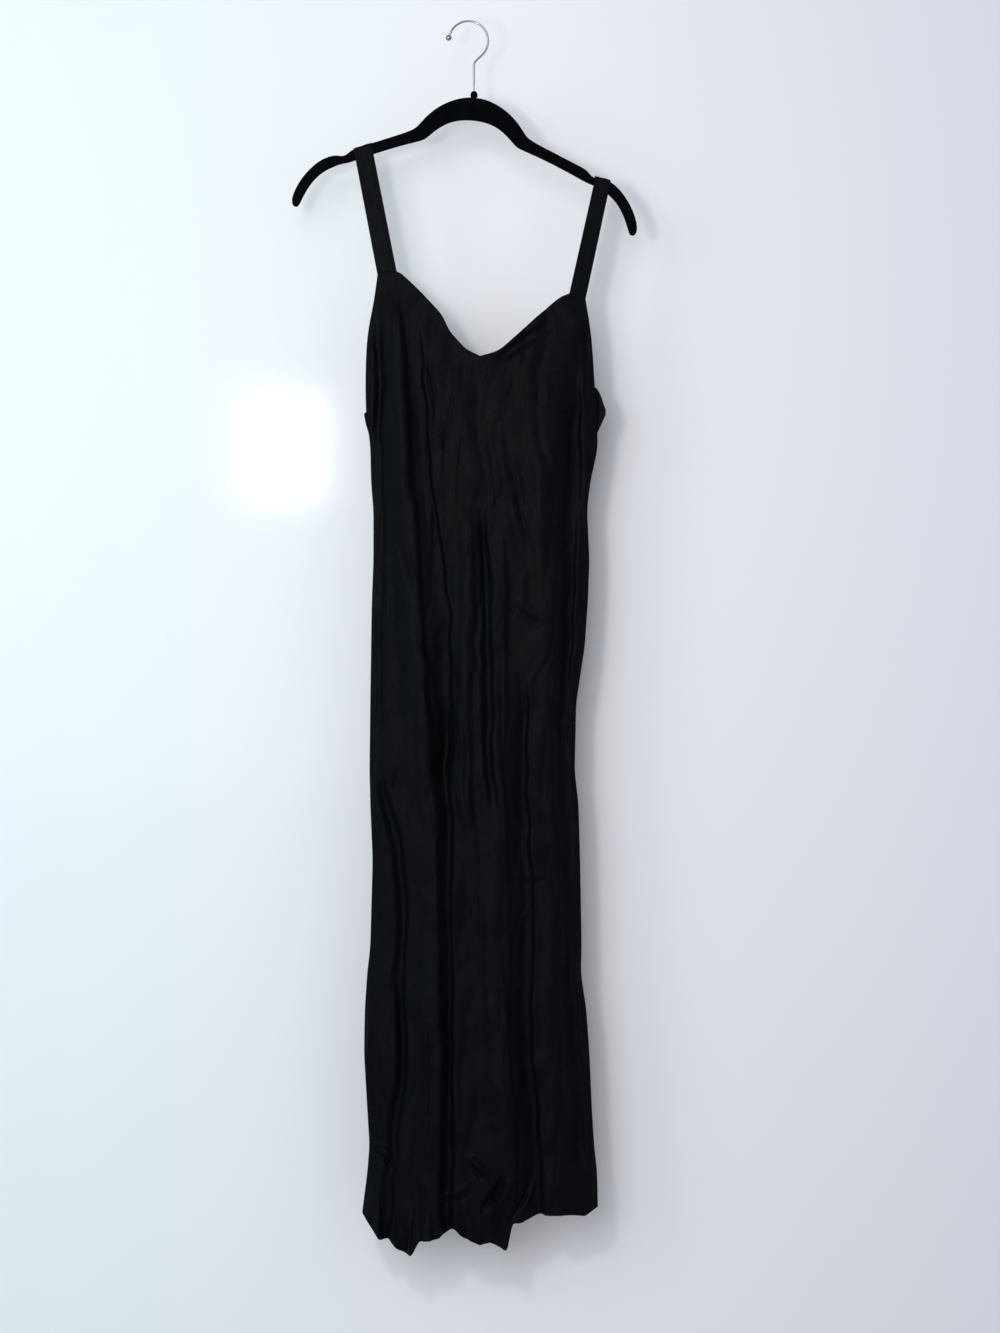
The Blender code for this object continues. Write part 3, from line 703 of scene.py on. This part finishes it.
def strap_bend(node, x):
    """Height of the middle of the strap's round bend over the hanger at one of its edges."""
    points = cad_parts[node].data.vertices
    top = max(p.co.z for p in points if abs(p.co.x - x * MM) < 0.5 * MM)
    return top / MM - SOLID_STRAP_REACH


def strap_edge(name, x_top, front_end, back_x):
    """One edge of a strap: from behind the bodice's point, over the hanger, down behind the back's top."""
    reach = HANGER_HALF + HANGER_CLEARANCE + STRAP_THICKNESS
    bend = strap_bend(name, x_top)
    front_x, front_height = (float(v) for v in front_end)
    front_y = -float(front_off(np.array(front_x), np.array(front_height))) + CLOTH + STRAP_SLACK
    left, right = back_side_lines(np.array(BACK_CORNER + 30.0))
    back_height = float(back_top(np.array((back_x - left) / (right - left))))
    back_y = float(back_off(np.array(float(back_x)), np.array(back_height))) - CLOTH - STRAP_SLACK
    tucked_front = np.array((front_x, front_y + STRAP_SLACK, front_height - STRAP_TUCK))
    at_front = np.array((front_x, front_y, front_height))
    over_front = np.array((x_top, -reach, bend))
    over_back = np.array((x_top, reach, bend))
    at_back = np.array((back_x, back_y, back_height))
    tucked_back = np.array((back_x, back_y - STRAP_SLACK, back_height - STRAP_TUCK))
    line = [between(tucked_front, at_front, t) for t in np.linspace(0, 1, 6)[:-1]]
    line += [between(at_front, over_front, t) for t in np.linspace(0, 1, 70)[:-1]]
    for angle in np.linspace(0, math.pi, 15):
        line.append(np.array([x_top, -reach * math.cos(angle), bend + reach * math.sin(angle)]))
    line += [between(over_back, at_back, t) for t in np.linspace(0, 1, 80)[1:]]
    line += [between(at_back, tucked_back, t) for t in np.linspace(0, 1, 6)[1:]]
    return np.array(line)


def strap(name, over, front_ends, back_xs, finish):
    """A flat ribbon between its two edges, with a line of stitching along each."""
    first, second = (strap_edge(name, *ends) for ends in zip(over, front_ends, back_xs))
    share = np.linspace(0, 1, STRAP_COLUMNS + 1)[None, :]
    points = between(first[:, None], second[:, None], share[..., None])
    along = np.arange(points.shape[0])[:, None] * STRAP_STEP
    across = share * STRAP_WIDTH
    to_edge = np.minimum(across, STRAP_WIDTH - across)
    stitching = 0.35 * np.exp(-(((to_edge - 3) / 1.1) ** 2))
    rolled = 0.4 * np.exp(-((to_edge / 0.9) ** 2))
    lift = 0.3 * noise(across / 8, along / 30, 40) - stitching - rolled
    normal = np.cross(np.gradient(points, axis=1), np.gradient(points, axis=0))
    normal /= np.linalg.norm(normal, axis=2, keepdims=True)
    outwards = -1 if normal[20, 5, 1] > 0 else 1
    points = points + outwards * normal * lift[..., None]
    return sheet_object(name + "_ribbon", points[::-1], STRAP_THICKNESS, finish)


def srgb(code):
    """A hex colour as linear numbers."""
    parts = [int(code[i : i + 2], 16) / 255 for i in (0, 2, 4)]
    linear = [p / 12.92 if p <= 0.04045 else ((p + 0.055) / 1.055) ** 2.4 for p in parts]
    return (*linear, 1.0)


def add(tree, kind, settings=None, links=None):
    """A node with its settings, its sockets' values and the links into it."""
    node = tree.nodes.new(kind)
    for key, value in (settings or {}).items():
        if key in node.inputs:
            node.inputs[key].default_value = value
        else:
            setattr(node, key, value)
    for key, source in (links or {}).items():
        tree.links.new(source, node.inputs[key])
    return node


def new_material(name):
    made = bpy.data.materials.new(name)
    made.use_nodes = True
    made.node_tree.nodes.clear()
    return made, made.node_tree


def ramp(tree, source, stops):
    """Colours that run into each other along a value, from (value, colour) stops."""
    node = add(tree, "ShaderNodeValToRGB", {}, {"Fac": source})
    elements = node.color_ramp.elements
    while len(elements) < len(stops):
        elements.new(1.0)
    for element, (position, color) in zip(elements, stops):
        element.position = position
        element.color = color
    return node.outputs["Color"]


def cloudy(tree, place, scale, detail, roughness=0.5, distortion=0.0):
    """Cloudy noise over a place, from 0 to 1."""
    sizes = {"Scale": scale, "Detail": detail, "Roughness": roughness, "Distortion": distortion}
    return add(tree, "ShaderNodeTexNoise", sizes, {"Vector": place}).outputs["Fac"]


def bumpy(tree, height, strength, distance, under=None):
    """The normals of a bumpy face, over those of another bumpy face if they are given."""
    links = {"Height": height} if under is None else {"Height": height, "Normal": under}
    return add(tree, "ShaderNodeBump", {"Strength": strength, "Distance": distance}, links).outputs["Normal"]


def spread(tree, value, low, high):
    """The middle of the range of a noise, spread between two limits."""
    limits = {"From Min": 0.3, "From Max": 0.7, "To Min": low, "To Max": high}
    return add(tree, "ShaderNodeMapRange", limits, {"Value": value}).outputs["Result"]


def close(tree, settings, links):
    """Ends a material with one shader."""
    shader = add(tree, "ShaderNodeBsdfPrincipled", settings, links).outputs["BSDF"]
    add(tree, "ShaderNodeOutputMaterial", {}, {"Surface": shader})


def washed_satin():
    """Viscose satin, piece dyed black and garment washed: a soft crushed face with a low blue sheen."""
    made, tree = new_material("washed viscose satin")
    place = add(tree, "ShaderNodeUVMap", {"uv_map": "cloth"}).outputs["UV"]
    crush_way = add(tree, "ShaderNodeMapping", {"Scale": (62, 30, 1)}, {"Vector": place}).outputs["Vector"]
    crush = cloudy(tree, crush_way, 1.0, 5.0, distortion=0.8)
    fine_way = add(tree, "ShaderNodeMapping", {"Scale": (330, 240, 1)}, {"Vector": place}).outputs["Vector"]
    fine = cloudy(tree, fine_way, 1.0, 4.0, 0.55)
    # Satin yarns lie 0.15 mm apart, and are drawn 0.9 mm apart so that they show.
    slant = {"Scale": (1100, 1100, 1), "Rotation": (0, 0, math.radians(27))}
    yarn_way = add(tree, "ShaderNodeMapping", slant, {"Vector": place}).outputs["Vector"]
    ribs = {"Scale": 0.16, "Distortion": 0.6}
    yarns = add(tree, "ShaderNodeTexWave", ribs, {"Vector": yarn_way}).outputs["Fac"]
    soft = bumpy(tree, crush, 0.45, 0.0016)
    small = bumpy(tree, fine, 0.25, 0.0003, soft)
    woven = bumpy(tree, yarns, 0.06, 0.0001, small)
    color = ramp(tree, crush, [(0.3, srgb("030508")), (0.72, srgb("06090D"))])
    face = {
        "Specular IOR Level": 0.055,
        "Sheen Weight": 0.015,
        "Sheen Roughness": 0.45,
        "Sheen Tint": srgb("8FA6B8"),
    }
    rough = spread(tree, fine, 0.5, 0.64)
    close(tree, face, {"Base Color": color, "Roughness": rough, "Normal": woven})
    return made


def velvet_flock():
    """Nylon flock on a moulded plastic hanger: short upright fibres, almost no gloss, a faint grey rim."""
    made, tree = new_material("nylon velvet flock")
    place = add(tree, "ShaderNodeTexCoord").outputs["Object"]
    pile = bumpy(tree, cloudy(tree, place, 1600.0, 3.0, 0.7), 0.6, 0.0004)
    patches = cloudy(tree, place, 90.0, 3.0, 0.6)
    color = ramp(tree, patches, [(0.35, srgb("07080A")), (0.7, srgb("0B0C0F"))])
    face = {
        "Roughness": 0.95,
        "Specular IOR Level": 0.0,
        "Sheen Weight": 0.01,
        "Sheen Roughness": 0.3,
        "Sheen Tint": srgb("6A6A70"),
    }
    close(tree, face, {"Base Color": color, "Normal": pile})
    return made


def chromed_wire():
    """Steel wire, drawn, bent and bright chrome plated: mirror-like, with faint drawing marks."""
    made, tree = new_material("bright chromed steel wire")
    place = add(tree, "ShaderNodeTexCoord").outputs["Object"]
    marks = cloudy(tree, place, 700.0, 3.0, 0.6)
    rough = spread(tree, marks, 0.1, 0.24)
    shallow = bumpy(tree, marks, 0.1, 0.0001)
    face = {"Base Color": srgb("9A9DA2"), "Metallic": 1.0}
    close(tree, face, {"Roughness": rough, "Normal": shallow})
    return made


def wall_paint_with_painted_light():
    """White emulsion paint on plaster: pale, with a faint roller texture, and painted light that is cooler
    and brighter to the left and dimmer to the right.

    It is seen only from its front, so that the dress shows from behind too.
    """
    made, tree = new_material("white emulsion paint with painted light")
    place = add(tree, "ShaderNodeTexCoord").outputs["Object"]
    roller = bumpy(tree, cloudy(tree, place, 260.0, 2.0), 0.06, 0.0004)
    sideways = add(tree, "ShaderNodeSeparateXYZ", {}, {"Vector": place}).outputs["X"]
    width = {"From Min": -0.6, "From Max": 0.7}
    share = add(tree, "ShaderNodeMapRange", width, {"Value": sideways}).outputs["Result"]
    # The paint's colour across the wall is painted light, cooler and brighter to the left and dimmer to the
    # right.
    painted_light_tint = ramp(tree, share, [(at, srgb(code)) for at, code in WALL_PAINTED_LIGHT_TINTS])
    face = {"Roughness": 0.11, "Specular IOR Level": 0.12}
    links = {"Base Color": painted_light_tint, "Normal": roller}
    paint = add(tree, "ShaderNodeBsdfPrincipled", face, links).outputs["BSDF"]
    clear = add(tree, "ShaderNodeBsdfTransparent").outputs["BSDF"]
    behind = add(tree, "ShaderNodeNewGeometry").outputs["Backfacing"]
    mixed = add(tree, "ShaderNodeMixShader", {}, {"Fac": behind})
    tree.links.new(paint, mixed.inputs[1])
    tree.links.new(clear, mixed.inputs[2])
    add(tree, "ShaderNodeOutputMaterial", {}, {"Surface": mixed.outputs["Shader"]})
    return made


def volume_and_area(piece):
    """Volume inside a closed piece, and the area of its faces."""
    inside = bmesh.new()
    inside.from_mesh(piece.data)
    found = inside.calc_volume(), sum(face.calc_area() for face in inside.faces)
    inside.free()
    return found


def points_of(piece):
    """The points of a piece as rows of x, y and z."""
    flat = np.empty(len(piece.data.vertices) * 3, np.float32)
    piece.data.vertices.foreach_get("co", flat)
    return flat.reshape(-1, 3)


def box_of(piece):
    points = points_of(piece)
    return points.min(axis=0), points.max(axis=0)


def fit_to(piece, corners):
    """Stretches a piece the little that brings it back to a box."""
    points = points_of(piece)
    low, high = points.min(axis=0), points.max(axis=0)
    share = (points - low) / (high - low)
    fitted = corners[0] + share * (corners[1] - corners[0])
    piece.data.vertices.foreach_set("co", fitted.astype(np.float32).ravel())
    piece.data.update()


def refined(node, name, levels, finish):
    """A smooth copy of a hard CAD node.

    Its facets are joined and rounded, and it is swelled and stretched back to its volume and its box.
    """
    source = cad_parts[node]
    made = bpy.data.objects.new(name, source.data.copy())
    bpy.context.scene.collection.objects.link(made)
    bpy.ops.object.select_all(action="DESELECT")
    made.select_set(True)
    bpy.context.view_layer.objects.active = made
    bpy.ops.object.mode_set(mode="EDIT")
    bpy.ops.mesh.select_all(action="SELECT")
    bpy.ops.mesh.remove_doubles(threshold=MERGE_WITHIN)
    bpy.ops.mesh.tris_convert_to_quads(face_threshold=MOST_LEAN, shape_threshold=MOST_LEAN)
    bpy.ops.mesh.normals_make_consistent(inside=False)
    bpy.ops.object.mode_set(mode="OBJECT")
    corners = box_of(made)
    before, _ = volume_and_area(made)
    smooth = made.modifiers.new("smooth", "SUBSURF")
    smooth.levels = levels
    smooth.render_levels = levels
    bpy.ops.object.modifier_apply(modifier="smooth")
    after, area = volume_and_area(made)
    swell = made.modifiers.new("swell", "DISPLACE")
    swell.strength = (before - after) / area
    swell.mid_level = 0
    bpy.ops.object.modifier_apply(modifier="swell")
    fit_to(made, corners)
    made.data.materials.clear()
    made.data.materials.append(finish)
    bpy.ops.object.shade_smooth()
    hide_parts(node)
    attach(made, "root")
    return made


def aim(obj, target):
    direction = Vector(target) - obj.location
    obj.rotation_mode = "QUATERNION"
    obj.rotation_quaternion = direction.to_track_quat("-Z", "Y")


def area_light(name, place, target, size, power, color):
    """A lamp of a width and height, pointed at a place. The camera doesn't see it."""
    data = bpy.data.lights.new(name, "AREA")
    data.shape = "RECTANGLE"
    data.size, data.size_y = size
    data.energy = power
    data.color = srgb(color)[:3]
    made = bpy.data.objects.new(name, data)
    made.location = place
    made.visible_camera = False
    bpy.context.scene.collection.objects.link(made)
    aim(made, target)
    return made


def camera():
    """Straight in front of the dress, a little right of its middle, framed on the whole of it."""
    picture_height = 1.705
    distance = 3.4
    middle = Vector((0.0403, -0.008, -0.826))
    data = bpy.data.cameras.new("camera")
    data.sensor_width = 36
    data.lens = 36 * distance / picture_height
    data.clip_end = 50
    made = bpy.data.objects.new("camera", data)
    made.location = middle - Vector((0, distance, 0))
    bpy.context.scene.collection.objects.link(made)
    aim(made, middle)
    bpy.context.scene.camera = made


def backdrop():
    """A pale wall close behind the dress."""
    bpy.ops.object.select_all(action="DESELECT")
    bpy.ops.mesh.primitive_plane_add(size=7, location=(0, WALL_Y, -0.8), rotation=(math.radians(90), 0, 0))
    wall = bpy.context.object
    wall.name = "wall"
    bpy.ops.object.transform_apply(location=True, rotation=True, scale=True)
    wall.data.materials.append(wall_paint_with_painted_light())
    # The back softbox stands behind the wall, and lights the back of the dress through it.
    wall.visible_shadow = False


def light():
    """An even pale room, softboxes in front, beside and behind, and a small lamp that edges the shadow."""
    world = bpy.data.worlds.new("soft room")
    world.use_nodes = True
    tree = world.node_tree
    background = tree.nodes["Background"]
    background.inputs["Color"].default_value = srgb("F0F2F6")
    seen = add(tree, "ShaderNodeLightPath").outputs["Is Camera Ray"]
    room = {"To Min": ROOM_LIGHT, "To Max": ROOM_SEEN}
    strength = add(tree, "ShaderNodeMapRange", room, {"Value": seen}).outputs["Result"]
    tree.links.new(strength, background.inputs["Strength"])
    bpy.context.scene.world = world
    bpy.context.scene.view_settings.view_transform = "Standard"
    for lamp in LAMPS:
        area_light(*lamp)


camera()
backdrop()
light()
satin = washed_satin()
flock = velvet_flock()
chrome = chromed_wire()

panels = [
    # piece, node it stands for, flat width and length, cut area, what it hangs from
    (front_skirt(satin), "front_skirt", (0.36, 1.06), None, ["front_bodice_left", "front_bodice_right"]),
    (back_panel(satin), "back_panel", (0.36, 1.09), None, ["strap_left", "strap_right"]),
    (front_bodice(0, satin), "front_bodice_left", (0.16, 0.22), 0.022, ["strap_left"]),
    (front_bodice(1, satin), "front_bodice_right", (0.15, 0.19), 0.017, ["strap_right"]),
]
for piece, node, *_ in panels:
    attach(piece, "root")
    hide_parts(node)
for row in STRAPS:
    piece = strap(*row, satin)
    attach(piece, "root")
    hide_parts(row[0])
for node, name, levels, finish, slot_name in [
    ("hanger_body", "flocked_hanger", 3, flock, "hanger_flock"),
    ("hanger_neck", "hanger_collar", 2, flock, "hanger_flock"),
    ("hook_wire", "hook", 2, chrome, "hook_chrome"),
    ("hook_ball", "hook_tip", 2, chrome, "hook_chrome"),
]:
    refined(node, name, levels, finish)
